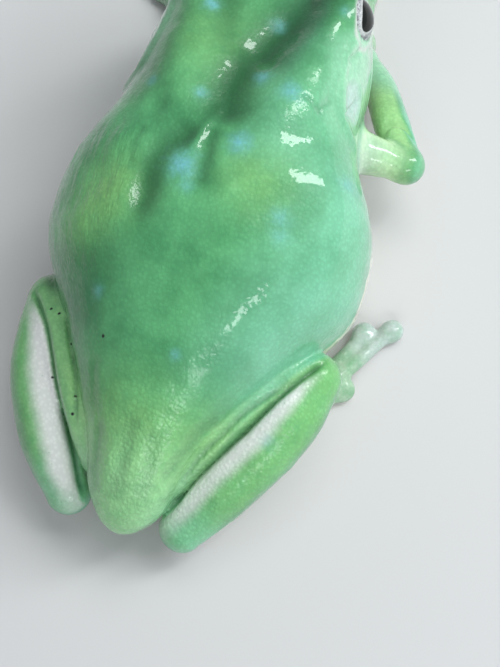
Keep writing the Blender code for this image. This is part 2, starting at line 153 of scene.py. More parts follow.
# The deep crease between each thigh and shank.
LEG_CREASE_DEPTH, LEG_CREASE_HALF_WIDTH = 0.85, 0.5
LEG_CREASES = {
    LEFT: (
        (24.6, 66.6), (22.6, 69.0), (20.4, 71.9), (18.6, 75.2), (16.9, 78.8),
        (14.9, 82.6), (13.0, 86.2), (11.2, 89.6), (9.5, 92.9), (8.0, 95.2),
    ),
    RIGHT: (
        (-23.6, 65.6), (-21.3, 68.6), (-19.1, 71.8), (-16.9, 75.2), (-14.9, 78.5),
        (-12.8, 81.7), (-10.8, 84.7), (-8.8, 87.6), (-7.1, 90.6), (-4.9, 94.4),
    ),
}
# The pale stripe beside that crease: where it is full, how far it fades out, and how strong it is.
STRIPE_START, STRIPE_END = 0.7, 1.7
STRIPE_FADE = {LEFT: 6.4, RIGHT: 5.4}
STRIPE_STRENGTH = {LEFT: 0.95, RIGHT: 0.8}
# Soft swellings and hollows of the back: height, radius, and the place seen from above.
BACK_SWELLINGS = (
    (0.7, 3.4, (13.4, 47.0)), (0.8, 3.6, (11.4, 54.8)), (0.7, 3.6, (16.2, 59.8)), (-0.5, 1.8, (9.6, 40.0)),
    (-0.5, 2.6, (7.4, 53.4)), (0.6, 4.5, (3.6, 28.0)), (0.5, 4.0, (-6.0, 56.0)), (-0.4, 3.2, (14.8, 52.6)),
    (0.45, 2.4, (-12.0, 18.0)), (0.45, 2.6, (-12.4, 27.6)), (0.4, 2.6, (-12.4, 33.4)),
    (-0.3, 2.8, (-12.8, 39.6)), (0.4, 3.6, (-9.4, 67.4)),
)
# The parotoid glands, one each side.
GLAND_RISE, GLAND_HALF_WIDTH = 1.9, 4.8
GLAND_PATH = ((10.6, 12.0), (10.4, 20.0), (9.8, 28.0), (8.8, 36.0), (7.6, 44.0))

# Lines seen from the side, on both sides: height, half width, and a path of (station, level).
SIDE_LINES = (
    (-0.8, 0.38, ((-9.0, 14.4), (0.0, 14.4), (8.0, 14.5), (15.0, 14.0), (21.0, 12.9), (27.0, 11.2))),
    (0.30, 0.8, ((-9.0, 15.6), (0.0, 15.6), (8.0, 15.7), (15.0, 15.2), (21.0, 14.1), (27.0, 12.4))),
    (0.6, 1.0, ((17.0, 27.0), (21.0, 29.6), (26.0, 30.4), (31.0, 29.4), (33.6, 26.0), (34.6, 20.0))),
    (-0.7, 0.4, ((26.4, 24.6), (28.6, 25.6), (31.0, 27.4), (32.2, 28.8))),
    (-0.4, 0.4, ((18.6, 26.4), (20.6, 27.4), (22.4, 28.8), (23.4, 30.0))),
    (0.35, 0.9, ((2.0, 22.8), (6.0, 24.0), (11.0, 24.8))),
)
NOSTRIL = (3.8, 2.5, 24.1)

# Pale blue spots of the back: radius, strength, and the place seen from above.
PALE_SPOTS = (
    (1.9, 1.0, (3.1, 48.4)), (1.5, 0.95, (-4.0, 43.1)), (1.5, 0.8, (-8.9, 33.4)), (1.2, 0.7, (-4.0, 31.5)),
    (0.9, 0.7, (4.1, 36.7)), (1.1, 1.0, (7.6, 20.7)), (1.2, 0.45, (-3.1, 20.6)), (1.1, 0.5, (1.6, 51.3)),
    (1.3, 0.5, (-20.1, 42.9)), (1.4, 0.5, (-12.6, 52.2)), (1.3, 0.4, (-13.3, 54.7)),
    (0.9, 0.4, (-12.3, 16.2)), (1.1, 0.6, (-17.6, 80.0)), (0.8, 0.6, (12.0, 36.0)),
    (0.9, 0.5, (10.6, 68.0)), (0.7, 0.6, (-3.0, 74.0)),
)
# Tiny black dots on the left leg and beside it, seen from above.
PIN_DOT_RADIUS = 0.3
PIN_DOTS = (
    (19.9, 69.6), (18.5, 70.0), (17.0, 79.3), (12.0, 84.1), (8.4, 73.8), (12.2, 81.5), (15.2, 74.0),
)
# Soft yellow patches of the back: radius, strength, and the place seen from above.
YELLOW_PATCHES = (
    (8.0, 0.36, (4.6, 27.0)), (6.0, 0.3, (13.6, 54.0)), (5.5, 0.45, (-8.0, 47.6)),
    (4.5, 0.36, (12.2, 54.0)), (4.0, 0.36, (16.0, 60.0)),
)
ARM_ROOT, ARM_ROOT_RADIUS = (18.0, 31.0, 14.0), 4.2
# How far over the widest level the pale underside reaches.
UNDER_EDGE = (
    (0, -3.9), (24, -4.6), (32, -3.6), (42, 2.6), (50, 3.0), (62, -0.6), (74, -2.4), (99, -3.0),
)
# How far the grain shifts from seed to seed, and the large odd numbers that scatter its values.
SEED_STEP = 17.37
SCATTER = (374761393, 668265263, 1274126177)
SCATTER_AGAIN = 1103515245


# Curves and blends


def curve_value(knots, stations):
    """A smooth curve through the knots that never overshoots them (monotone cubic)."""
    x, y = np.array(knots, float).T
    step = np.diff(x)
    rise = np.diff(y) / step
    slope = np.concatenate([rise[:1], np.zeros(len(x) - 2), rise[-1:]])
    same_way = rise[:-1] * rise[1:] > 0
    weight_a, weight_b = 2 * step[1:] + step[:-1], step[1:] + 2 * step[:-1]
    with np.errstate(divide="ignore", invalid="ignore"):
        mean = (weight_a + weight_b) / (weight_a / rise[:-1] + weight_b / rise[1:])
    slope[1:-1] = np.where(same_way, mean, 0)
    at = np.clip(np.asarray(stations, float), x[0], x[-1])
    i = np.clip(np.searchsorted(x, at) - 1, 0, len(x) - 2)
    t = (at - x[i]) / step[i]
    return (
        y[i] * (1 + 2 * t) * (1 - t) ** 2
        + y[i + 1] * t * t * (3 - 2 * t)
        + slope[i] * step[i] * t * (1 - t) ** 2
        - slope[i + 1] * step[i] * t * t * (1 - t)
    )


def eased(knots):
    """The curve through the knots with its bends softened, as a function of the station."""
    at = np.arange(-12, BODY_LENGTH + 12, TABLE_STEP)
    reach = np.arange(-3 * EASING, 3 * EASING + TABLE_STEP / 2, TABLE_STEP)
    weight = np.exp(-((reach / EASING) ** 2) / 2)
    padded = np.pad(curve_value(knots, at), len(reach) // 2, "edge")
    value = np.convolve(padded, weight / weight.sum(), "valid")
    return lambda station: np.interp(station, at, value)


def refined(points, samples):
    """A smooth line through a few points, with that many samples between each two."""
    points = np.array(points, float)
    at = np.arange(len(points))
    fine = np.linspace(0, len(points) - 1, samples * (len(points) - 1) + 1)
    return np.stack([curve_value(list(zip(at, column)), fine) for column in points.T], 1)


def bump(value, centre, width):
    """1 at the centre, falling off smoothly over the width."""
    return np.exp(-(((value - centre) / width) ** 2))


def ramp(value, low, high):
    """0 below low, 1 above high, smooth between."""
    t = np.clip((value - low) / (high - low), 0, 1)
    return t * t * (3 - 2 * t)


def fading(value, low, high):
    """1 below low, 0 above high, smooth between."""
    return 1 - ramp(value, low, high)


def blend(a, b, reach):
    """The nearer of two distances, with a fillet of that reach where they are alike."""
    reach = np.maximum(reach, 1e-3)
    overlap = np.maximum(reach - np.abs(a - b), 0) / reach
    return np.minimum(a, b) - overlap * overlap * reach / 4


def carve(a, b, reach):
    """Shape a without shape b, with a rounded edge of that reach."""
    return -blend(-a, b, reach)


def spot(p, centre, radius):
    """1 at a place, falling off over the radius; the place is seen from above, or in space."""
    centre = np.asarray(centre, float)
    return np.exp(-(((p[:, : len(centre)] - centre) ** 2).sum(1)) / radius**2)


def both_sides(p, place, radius):
    """A spot at a place and its mirror image."""
    return sum(spot(p, (side * place[0], *place[1:]), radius) for side in SIDES)


def grain(p, size, seed):
    """Smooth noise between -1 and 1 with bumps of that size; size may differ along each axis."""
    q = p / np.asarray(size, float) + seed * SEED_STEP
    cell = np.floor(q).astype(np.int64)
    t = q - cell
    t = t * t * (3 - 2 * t)
    total = np.zeros(len(p))
    for corner in itertools.product((0, 1), repeat=3):
        weight = np.prod(np.where(corner, t, 1 - t), axis=1)
        mixed = ((cell + corner) @ np.array(SCATTER)) & 0xFFFFFFFF
        mixed = ((mixed ^ (mixed >> 13)) * SCATTER_AGAIN) & 0xFFFFFFFF
        total += weight * (((mixed ^ (mixed >> 16)) & 0xFFFF) / 32767.5 - 1)
    return total


def to_segment(p, a, b):
    """The share of the way from a to b that each point is nearest to, and its distance from there."""
    along = b - a
    share = np.clip((p - a) @ along / (along @ along), 0, 1)
    return share, np.linalg.norm(p - a - share[:, None] * along, axis=1)


class Line:
    """A path on the skin, seen from above or from the side."""

    def __init__(self, half_width, path, fade=0.16):
        self.half_width, self.fade = half_width, fade
        self.points = refined(path, 5)
        self.low = self.points.min(0) - 3 * half_width
        self.high = self.points.max(0) + 3 * half_width

    def strength(self, flat):
        """1 on the line, falling off beside it and towards its ends."""
        found = np.zeros(len(flat))
        near = ((flat > self.low) & (flat < self.high)).all(1)
        if not near.any():
            return found
        q = flat[near]
        best, share = np.full(len(q), np.inf), np.zeros(len(q))
        pieces = len(self.points) - 1
        for i, (a, b) in enumerate(zip(self.points, self.points[1:])):
            t, away = to_segment(q, a, b)
            share = np.where(away < best, (i + t) / pieces, share)
            best = np.minimum(away, best)
        ends = ramp(share, 0, self.fade) * fading(share, 1 - self.fade, 1)
        found[near] = bump(best, 0, self.half_width) * ends
        return found

    def offset(self, flat, side):
        """How far each place lies outward of the line, less than 0 on the inner side of it."""
        nearest = np.full(len(flat), np.inf)
        signed = np.zeros(len(flat))
        for a, b in zip(self.points, self.points[1:]):
            edge, from_a = b - a, flat - a
            away = to_segment(flat, a, b)[1]
            beyond = side * (from_a[:, 0] * edge[1] - from_a[:, 1] * edge[0])
            signed = np.where(away < nearest, np.sign(beyond) * away, signed)
            nearest = np.minimum(nearest, away)
        return signed


# Shapes. Each is a box and a distance that holds near the box.


class Shape:
    def __init__(self, low, high, distance):
        self.low, self.high, self.exact = np.asarray(low, float), np.asarray(high, float), distance

    def distance(self, p):
        found = np.full(len(p), FAR)
        near = ((p > self.low - FAR / 2) & (p < self.high + FAR / 2)).all(1)
        if near.any():
            found[near] = np.minimum(self.exact(p[near]), FAR)
        return found


def limb_line(knots, side, samples=12):
    """A limb's centre line and radii, finely spaced, on its own side of the animal."""
    return refined([(side * out, *rest) for out, *rest in knots], samples)


def end_of(limb, side, end):
    """The first (0) or last (-1) place of a limb's centre line."""
    out, station, level, _ = limb[side][end]
    return side * out, station, level


def tube(line):
    """A tapering limb round a centre line of (out, station, level, radius)."""

    def distance(p):
        best = np.full(len(p), np.inf)
        for a, b in zip(line, line[1:]):
            share, away = to_segment(p, a[:3], b[:3])
            best = np.minimum(best, away - (a[3] + share * (b[3] - a[3])))
        return best

    radius = line[:, 3:].max()
    return Shape(line[:, :3].min(0) - radius, line[:, :3].max(0) + radius, distance)


def limb(knots, side):
    return tube(limb_line(knots[side], side))


def ellipsoid(centre, radii, turn=0.0):
    """An ellipsoid turned about the vertical, by an angle in radians."""
    centre, radii = np.asarray(centre, float), np.asarray(radii, float)
    turned = np.array(Matrix.Rotation(turn, 3, "Z"))

    def distance(p):
        q = (p - centre) @ turned / radii
        size = np.linalg.norm(q, axis=1)
        return size * (size - 1) / np.maximum(np.linalg.norm(q / radii, axis=1), 1e-6)

    reach = radii.max()
    return Shape(centre - reach, centre + reach, distance)


def polygon_distance(p, corners):
    """The flat distance to a polygon, negative inside."""
    near = np.full(len(p), np.inf)
    inside = np.zeros(len(p), bool)
    for a, b in zip(corners, np.roll(corners, 1, axis=0)):
        near = np.minimum(near, to_segment(p, a, b)[1])
        crosses = (a[1] > p[:, 1]) != (b[1] > p[:, 1])
        with np.errstate(divide="ignore", invalid="ignore"):
            hit = p[:, 0] < (b[0] - a[0]) * (p[:, 1] - a[1]) / (b[1] - a[1]) + a[0]
        inside ^= crosses & hit
    return np.where(inside, -near, near)


def web(base, tips, reach):
    """A thin sheet between two digits, hollow at its free edge."""
    a, b = (base + (tip - base) * reach for tip in tips)
    t = np.linspace(0, 1, 7)[1:-1, None]
    hollow = (a * (1 - t) + b * t - base) * (1 - 0.24 * np.sin(math.pi * t)) + base
    corners = np.concatenate([[base, a], hollow, [b]])

    def distance(p):
        flat = polygon_distance(p[:, :2], corners)
        return np.maximum(flat, np.abs(p[:, 2] - DISC_HALF_HEIGHT) - WEB_HALF_HEIGHT)

    low, high = corners.min(0), corners.max(0)
    return Shape((*low, 0), (*high, 2), distance)


def digit(start, heading, length, radius, disc):
    """One finger or toe with its knuckles and round pad, lying on the floor."""
    ahead = np.array((math.sin(heading), -math.cos(heading)))
    along = np.linspace(0, 1, 15)
    middle = np.asarray(start) + ahead * (along * length)[:, None]
    arch = curve_value(((0, 1.8), (0.35, 2.0), (0.7, 1.5), (1, DISC_HALF_HEIGHT)), along)
    taper = curve_value(((0, 1.15), (0.3, 0.95), (0.7, 0.78), (1, 0.72)), along)
    knuckles = 0.1 * (bump(along, 0.38, 0.08) + bump(along, 0.68, 0.06))
    stem = tube(np.column_stack([middle, arch, radius * (taper + knuckles)]))
    tip = (*middle[-1], DISC_HALF_HEIGHT - 0.1)
    return stem, ellipsoid(tip, (disc * 0.98, disc, DISC_HALF_HEIGHT), heading)


def paw(side, middle, palm_radii, digits, radius, disc, reach, stem):
    """A hand or foot: its palm, digits and webs, and the stem that leads into it."""
    out, station = middle
    heading = math.radians(digits[len(digits) // 2][1])
    palm = ellipsoid((side * out, station, 1.9), palm_radii, side * heading)
    stems, pads, tips = [palm, tube(stem)], [], []
    for length, degrees in digits:
        angle = math.radians(degrees)
        root = (
            side * (out + math.sin(angle) * palm_radii[0] * 0.6),
            station - math.cos(angle) * palm_radii[1] * 0.6,
        )
        made, pad = digit(root, side * angle, length, radius, disc)
        stems.append(made)
        pads.append(pad)
        tips.append(np.array(root) + np.array((side * math.sin(angle), -math.cos(angle))) * length)
    base = np.array((side * out, station))
    webs = [web(base, pair, reach) for pair in zip(tips, tips[1:])]

    def distance(p):
        flesh = np.full(len(p), FAR)
        for shape in stems:
            flesh = blend(flesh, shape.distance(p), 1.5)
        for shape in webs:
            flesh = blend(flesh, shape.distance(p), 1.0)
        for shape in pads:
            flesh = blend(flesh, shape.distance(p), 1.3)
        return flesh

    shapes = [*stems, *pads, *webs]
    low = np.min([shape.low for shape in shapes], 0)
    return Shape(low, np.max([shape.high for shape in shapes], 0), distance)


def hand(side):
    out, station = FOREARM[side][-1][:2]
    heading = math.radians(HAND_TURN[side])
    middle = (out + PALM_REACH * math.sin(heading), station - PALM_REACH * math.cos(heading))
    wrist = limb_line(((*FOREARM[side][-1][:3], 2.2), (*middle, 2.0, 2.2)), side)
    digits = [(length, degrees + HAND_TURN[side]) for length, degrees in FINGERS]
    return paw(side, middle, PALM_RADII, digits, FINGER_RADIUS, FINGER_DISC, FINGER_WEB_REACH, wrist)


def foot(side):
    tarsus = limb_line(TARSUS[side], side)
    middle = TARSUS[side][-1][:2]
    return paw(side, middle, SOLE_RADII, TOES[side], TOE_RADIUS, TOE_DISC, TOE_WEB_REACH, tarsus)


# The head and trunk

half_width, spine, top, widest_level, underside, upper_fullness, lower_fullness = (
    eased(knots)
    for knots in (HALF_WIDTH, SPINE, TOP, WIDEST_LEVEL, UNDERSIDE, UPPER_FULLNESS, LOWER_FULLNESS)
)


def body_distance(p):
    """The head and trunk before any relief."""
    out, station, level = p.T
    middle = widest_level(station)
    side, rise = out - spine(station), level - middle
    upper = rise > 0
    power = np.where(upper, upper_fullness(station), lower_fullness(station))
    height = np.where(upper, top(station) - middle, middle - underside(station))
    section = (np.abs(side) / half_width(station)) ** power + (np.abs(rise) / height) ** power
    past_snout = np.maximum(1 - station / SNOUT_ROUNDING, 0)
    past_rump = np.maximum(1 - (BODY_LENGTH - station) / RUMP_ROUNDING, 0)
    size = np.sqrt(section ** (2 / power) + past_snout**2 + past_rump**2)
    past_ends = (past_snout * SNOUT_ROUNDING) ** 2 + (past_rump * RUMP_ROUNDING) ** 2
    reach = np.sqrt(side**2 + rise**2 + past_ends)
    return reach * (1 - 1 / np.maximum(size, 0.05))


def drawn(table):
    """The lines of a table, each with its height."""
    return [(height, Line(reach, path)) for height, reach, path in table]


back_lines, thigh_lines, side_lines = drawn(BACK_LINES), drawn(THIGH_LINES), drawn(SIDE_LINES)
leg_creases = {side: Line(LEG_CREASE_HALF_WIDTH, path, fade=0.1) for side, path in LEG_CREASES.items()}
gland_line = Line(GLAND_HALF_WIDTH, GLAND_PATH, fade=0.3)


def ear_reach(p):
    """How far a place lies from the middle of the ear drum, as a share of its radius."""
    across = (p[:, 1] - EAR_STATION) / EAR_HALF_LENGTH
    rise = (p[:, 2] - EAR_LEVEL) / EAR_HALF_HEIGHT
    return np.hypot(across, rise)


def relief(p):
    """How far the skin stands out from the plain shapes, in millimetres."""
    out, station, level = p.T
    flat = p[:, :2]
    over_middle = level - widest_level(station)
    upper = ramp(over_middle, 2, 8)
    mirrored = np.column_stack([np.abs(out), station])
    rise = upper * GLAND_RISE * gland_line.strength(mirrored)
    for height, line in back_lines:
        rise += upper * height * line.strength(flat)
    for height, radius, place in BACK_SWELLINGS:
        rise += upper * height * spot(p, place, radius)
    above_floor = ramp(level, 9, 13)
    for height, line in thigh_lines:
        rise += above_floor * height * line.strength(flat)
    for line in leg_creases.values():
        rise -= ramp(level, 6, 9) * LEG_CREASE_DEPTH * line.strength(flat)
    sides = np.column_stack([station, level])
    outer = ramp(np.abs(out) - 0.72 * half_width(station), 0, 2)
    outer = np.maximum(outer, fading(station, 3, 8))
    for height, line in side_lines:
        rise += outer * height * line.strength(sides)
    ear = ear_reach(p)
    at_ear = ramp(np.abs(out), 10, 12)
    ring, drum, middle = bump(ear, 1.05, 0.2), fading(ear, 0.6, 1.0), bump(ear, 0, 0.4)
    rise += at_ear * (0.18 * ring - 0.2 * drum + 0.12 * middle)
    return rise + 0.3 * both_sides(p, NOSTRIL, 1.6) - 1.6 * both_sides(p, NOSTRIL, 0.45)


# The eyes and their lids


def axes_of(side, rise, ahead):
    """Forward, up and outward directions of an eye turned that many degrees up and ahead."""
    rise, ahead = math.radians(rise), math.radians(ahead)
    level_part = math.cos(rise)
    gaze = np.array((side * level_part * math.cos(ahead), -level_part * math.sin(ahead), math.sin(rise)))
    forward = np.array((0.0, -1.0, 0.0))
    forward -= gaze * (forward @ gaze)
    forward /= np.linalg.norm(forward)
    up = side * np.cross(forward, gaze)
    return forward, up, gaze


def eye_centre(side):
    return np.array((side * EYE_OFFSET, EYE_STATION, EYE_LEVEL))


def seen_on_eye(p, side, rise, ahead):
    """Degrees forward and up from a direction of the eye, and the distance from its middle."""
    forward, up, gaze = axes_of(side, rise, ahead)
    q = p - eye_centre(side)
    away = np.maximum(np.linalg.norm(q, axis=1), 1e-6)
    across = np.degrees(np.arctan2(q @ forward, q @ gaze))
    over = np.degrees(np.arcsin(np.clip(q @ up / away, -1, 1)))
    return across, over, away


def opening_share(across, over):
    """1 on the rim of the lids, less inside the opening. Its corners are a little pointed."""
    along, high = np.abs(across / OPENING_HALF_LENGTH), np.abs(over / OPENING_HALF_HEIGHT)
    return np.sqrt(along**1.6 + high**2)


def lids(side):
    """The fleshy upper and thin lower lid, a shell round the eye with an opening."""

    def distance(p):
        across, over, away = seen_on_eye(p, side, OPENING_RISE, OPENING_AHEAD)
        thick = LOWER_LID + (UPPER_LID - LOWER_LID) * ramp(over, -10, 25)
        shell = np.abs(away - EYE_RADIUS - thick / 2) - thick / 2
        rim = (1 - opening_share(across, over)) * math.radians(OPENING_HALF_HEIGHT) * EYE_RADIUS
        return -blend(-shell, -rim, 0.5)

    reach = EYE_RADIUS + UPPER_LID
    return Shape(eye_centre(side) - reach, eye_centre(side) + reach, distance)


class Frog:
    """The whole animal as one field, and its parts for telling one from another."""

    def __init__(self):
        self.arms = {side: [limb(UPPER_ARM, side), limb(FOREARM, side), hand(side)] for side in SIDES}
        self.legs = {side: [limb(THIGH, side), limb(SHANK, side), foot(side)] for side in SIDES}
        self.mounds = {
            side: ellipsoid((side * MOUND_OFFSET, EYE_STATION, MOUND_LEVEL), MOUND_RADII) for side in SIDES
        }
        self.lids = {side: lids(side) for side in SIDES}
        self.eyes = {side: ellipsoid(eye_centre(side), (EYE_RADIUS + EYE_ROOM,) * 3) for side in SIDES}

    def field(self, p):
        flesh = body_distance(p)
        for side in SIDES:
            upper_arm, forearm, palm = (shape.distance(p) for shape in self.arms[side])
            at_elbow = spot(p, end_of(FOREARM, side, 0), 5)
            arm = blend(blend(upper_arm, forearm, 0.6 + 2.4 * at_elbow), palm, 1.8)
            flesh = blend(flesh, arm, 2.2)
            thigh, shank, sole = (shape.distance(p) for shape in self.legs[side])
            at_knee = spot(p, end_of(SHANK, side, 0), 7)
            at_heel = spot(p, end_of(SHANK, side, -1), 5)
            leg = blend(thigh, shank, 0.3 + 3 * at_knee)
            leg = blend(leg, sole, 0.3 + 2.5 * at_heel)
            flesh = blend(flesh, leg, 0.6)
            flesh = blend(flesh, self.mounds[side].distance(p), 2.4)
        flesh = flesh - relief(p)
        for side in SIDES:
            flesh = blend(flesh, self.lids[side].distance(p), 1.0)
            flesh = carve(flesh, self.eyes[side].distance(p), 0.15)
        return np.maximum(flesh, -p[:, 2])


# From the field to a mesh


def sampled(frog, low, counts):
    """The field at every corner of a grid. Blocks of it that lie far from the skin get only a sign."""
    values = np.empty(counts)
    blocks = [range(0, count, BLOCK) for count in counts]
    starts = np.array(list(itertools.product(*blocks)))
    middle = frog.field(low + CELL * (starts + (BLOCK - 1) / 2))
    within = np.array(list(itertools.product(range(BLOCK), repeat=3)))
    for first in range(0, len(starts), BLOCKS_AT_ONCE):
        part = slice(first, first + BLOCKS_AT_ONCE)
        at = starts[part, None] + within
        sign = np.broadcast_to(np.sign(middle[part])[:, None] * FAR, at.shape[:2]).copy()
        near = np.abs(middle[part]) < NEAR_SKIN
        if near.any():
            places = at[near].reshape(-1, 3)
            sign[near] = frog.field(low + CELL * places).reshape(-1, len(within))
        at, sign = at.reshape(-1, 3), sign.ravel()
        values[tuple(at.T)] = sign
    return values


def surface_of(values, low):
    """The zero surface of a sampled field: a point in each cell that it crosses, and the quads between."""
    inside = values < 0
    crossed = np.zeros(np.array(values.shape) - 1, np.int8)
    place = np.zeros((*crossed.shape, 3), np.float32)
    for axis in range(3):
        others = [k for k in range(3) if k != axis]
        here = [slice(None)] * 3
        there = [slice(None)] * 3
        here[axis], there[axis] = slice(None, -1), slice(1, None)
        a, b = values[tuple(here)], values[tuple(there)]
        cut = inside[tuple(here)] != inside[tuple(there)]
        t = np.where(cut, a / np.where(cut, a - b, 1), 0)
        for step in ((0, 0), (0, 1), (1, 0), (1, 1)):
            window = [slice(None)] * 3
            for k, offset in zip(others, step):
                window[k] = slice(offset, values.shape[k] - 1 + offset)
            cells = cut[tuple(window)]
            crossed += cells
            place[..., axis] += t[tuple(window)]
            for k, offset in zip(others, step):
                place[..., k] += np.where(cells, offset, 0)
    active = crossed > 0
    number = np.full(crossed.shape, -1)
    number[active] = np.arange(active.sum())
    cell = np.argwhere(active)
    points = np.asarray(low) + CELL * (cell + place[active] / crossed[active][:, None])
    quads = []
    for axis in range(3):
        u, v = ((1, 2), (2, 0), (0, 1))[axis]
        here = [slice(1, -1)] * 3
        there = [slice(1, -1)] * 3
        here[axis], there[axis] = slice(None, -1), slice(1, None)
        start, end = inside[tuple(here)], inside[tuple(there)]
        for way, found in ((1, start & ~end), (-1, end & ~start)):
            at = np.argwhere(found)
            at[:, u] += 1
            at[:, v] += 1
            corners = []
            for du, dv in ((-1, -1), (0, -1), (0, 0), (-1, 0)):
                corner = at.copy()
                corner[:, u] += du
                corner[:, v] += dv
                corners.append(number[tuple(corner.T)])
            quads.append(np.stack(corners[::way], 1))
    return points, np.concatenate(quads)


def slope_of(frog, p):
    """The field and its slope at each point."""
    here = frog.field(p)
    ahead = [frog.field(p + SLOPE_STEP * axis) for axis in np.eye(3)]
    return here, np.stack([(value - here) / SLOPE_STEP for value in ahead], 1)


def settled(frog, p, passes=2):
    """Points moved onto the skin along the field's slope, and the direction out of the skin."""
    for _ in range(passes):
        here, slope = slope_of(frog, p)
        steepness = np.maximum((slope**2).sum(1), 0.2)
        move = (here / steepness)[:, None] * slope
        p = p - np.clip(move, -CELL, CELL)
    return p, slope / np.maximum(np.linalg.norm(slope, axis=1), 1e-6)[:, None]


def unfolded(points, normal, quads, passes=4):
    """The points, with the few quads that have turned over smoothed flat again."""
    for _ in range(passes):
        a, b, c, d = (points[quads[:, k]] for k in range(4))
        facing, outward = np.cross(c - a, d - b), normal[quads].sum(1)
        size = np.linalg.norm(facing, axis=1) * np.linalg.norm(outward, axis=1)
        moved = np.unique(quads[(facing * outward).sum(1) < FOLDED * size])
        total, count = np.zeros_like(points), np.zeros((len(points), 1))
        for k in range(4):
            for step in (1, 3):
                np.add.at(total, quads[:, k], points[quads[:, (k + step) % 4]])
                np.add.at(count, quads[:, k], 1)
        points = points.copy()
        points[moved] = total[moved] / count[moved]
    return points


def to_world(p):
    """Millimetre places as points in metres."""
    return np.column_stack([p[:, 0], p[:, 1] - BELLY_STATION, p[:, 2]]) * MM


# What each place on the skin is like


class Where:
    """Where points of the skin lie: measures in millimetres, and shares of each part from 0 to 1."""

    def __init__(self, frog, p, normal):
        self.p, self.flat = p, p[:, :2]
        self.out, self.station, self.level = p.T
        self.mirrored = np.column_stack([np.abs(self.out), self.station])
        self.facing_up = normal[:, 2]
        self.facing_out = np.sign(self.out) * normal[:, 0]
        self.over_middle = self.level - widest_level(self.station)
        self.on_body = fading(np.abs(body_distance(p)), 1.2, 2.6)
        self.on_top = ramp(self.facing_up, 0.0, 0.5)
        self.rump = ramp(self.station, 72, 92) * self.on_body
        self.past_crease = {side: line.offset(self.flat, side) for side, line in leg_creases.items()}
        self.from_thigh = {side: frog.legs[side][0].distance(p) for side in SIDES}
        arms = np.max([self.arm(frog, side) for side in SIDES], 0)
        legs = np.max([self.leg(frog, side) for side in SIDES], 0)
        self.upper_arms, self.forearms, palms = arms
        self.stripe, self.legs, self.thighs, soles, self.tips = legs
        self.paws = np.maximum(palms, soles)
        self.inner_arm = self.forearms * fading(self.facing_out, 0.05, 0.5) * ramp(self.station, 13, 19)
        # Painted shade: the outer edge of the left shank, away from the light, is darkened and greyed.
        outer_edge = ramp(self.past_crease[LEFT], 5.0, 7.5) * ramp(self.out, 8, 12)
        self.shaded_outer_shank = outer_edge * self.legs

    def arm(self, frog, side):
        """The shares of one upper arm, forearm and palm."""
        upper_arm, forearm, palm = (shape.distance(self.p) for shape in frog.arms[side])
        on_upper_arm = fading(upper_arm, 0.3, 1.2) * ramp(forearm - upper_arm, -0.5, 0.8)
        on_forearm = fading(forearm, 0.3, 1.2) * ramp(upper_arm - forearm, -0.5, 0.8)
        return on_upper_arm, on_forearm, fading(palm, 0.3, 1.0)

    def leg(self, frog, side):
        """The shares of one shank's pale stripe, the leg, its thigh, its sole and the tips of its toes."""
        thigh, past = self.from_thigh[side], self.past_crease[side]
        shank, sole = (shape.distance(self.p) for shape in frog.legs[side][1:])
        on_shank = fading(np.abs(shank), 0.8, 1.8) * ramp(self.facing_up, -0.2, 0.3)
        along = ramp(self.station, 65, 74) * (1 - 0.5 * ramp(self.station, 92, 97))
        widening = 0.45 + 0.55 * ramp(self.station, 66, 82)
        across = ramp(past, -0.05, STRIPE_START) * fading(past / widening, STRIPE_END, STRIPE_FADE[side])
        stripe = STRIPE_STRENGTH[side] * on_shank * along * across
        on_leg = fading(np.minimum(thigh, shank), 0.3, 1.2)
        on_thigh = fading(thigh, 0.6, 1.8) * fading(past, -0.8, 0.4)
        on_sole = fading(sole, 0.3, 1.0)
        ankle = TARSUS[side][-1]
        far = np.hypot(self.out - side * ankle[0], self.station - ankle[1])
        return stripe, on_leg, on_thigh, on_sole, on_sole * ramp(far, 15, 22)


def underside_share(w):
    """The pale belly and throat with their ragged edge, and the undersides of the limbs."""
    ragged = curve_value(UNDER_EDGE, w.station) + 0.3 * grain(w.p, 2.0, 5) + 0.9 * grain(w.p, 6.0, 9)
    belly = w.on_body * fading(w.over_middle - ragged, -1.6, 1.2) * fading(w.station, 84, 91)
    limbs = (w.legs + w.forearms + w.paws).clip(0, 1) * ramp(-w.facing_up, 0.15, 0.6)
    return np.maximum(belly, limbs)


def mint_share(w):
    """The lighter green of the head's sides, the forearms and the rump."""
    steep = 0.45 * ramp(1 - w.facing_up, 0.25, 0.9) + 0.6 * ramp(np.abs(w.out), 10, 16)
    head_side = w.on_body * fading(w.station, 26, 38) * steep
    patches = np.maximum(head_side, 0.8 * w.forearms * fading(w.station, 13, 19))
    return patches + 0.22 * w.legs * w.thighs + 0.35 * ramp(w.station, 80, 94) * w.on_body


def blue_share(w):
    ragged = 1 + 0.25 * grain(w.p, 0.8, 3)
    spots = [strength * spot(w.p, place, radius * ragged) for radius, strength, place in PALE_SPOTS]
    return np.max(spots, 0) * ramp(w.facing_up, 0.1, 0.4)


def yellow_share(w):
    patches = sum(strength * spot(w.p, place, radius) for radius, strength, place in YELLOW_PATCHES)
    limbs = 0.8 * w.inner_arm + 0.45 * w.legs * w.on_top + 0.25 * w.thighs
    return 0.8 * w.rump + patches * w.on_top + limbs


def teal_and_sheen_share(w):
    """The bluish green of the heels and outer forearms, and a painted sheen of it on the lit right side."""
    heel = sum(spot(w.p, end_of(SHANK, side, -1), 6.5) for side in SIDES)
    # Painted sheen: the right flank and the right of the head are made bluish and lighter, as lit from the
    # right.
    right_flank_sheen = ramp(-w.out + 0.35 * (w.station - 50), 8, 24)
    right_flank_sheen = right_flank_sheen * ramp(w.station, 34, 46) * fading(w.station, 70, 84)
    right_head_sheen = ramp(-w.out, 1, 9) * fading(w.station, 40, 50)
    outer_arm = w.forearms * ramp(w.facing_out, 0.3, 0.7)
    return 0.9 * heel + (0.9 * right_flank_sheen + 0.45 * right_head_sheen) * w.on_body + outer_arm


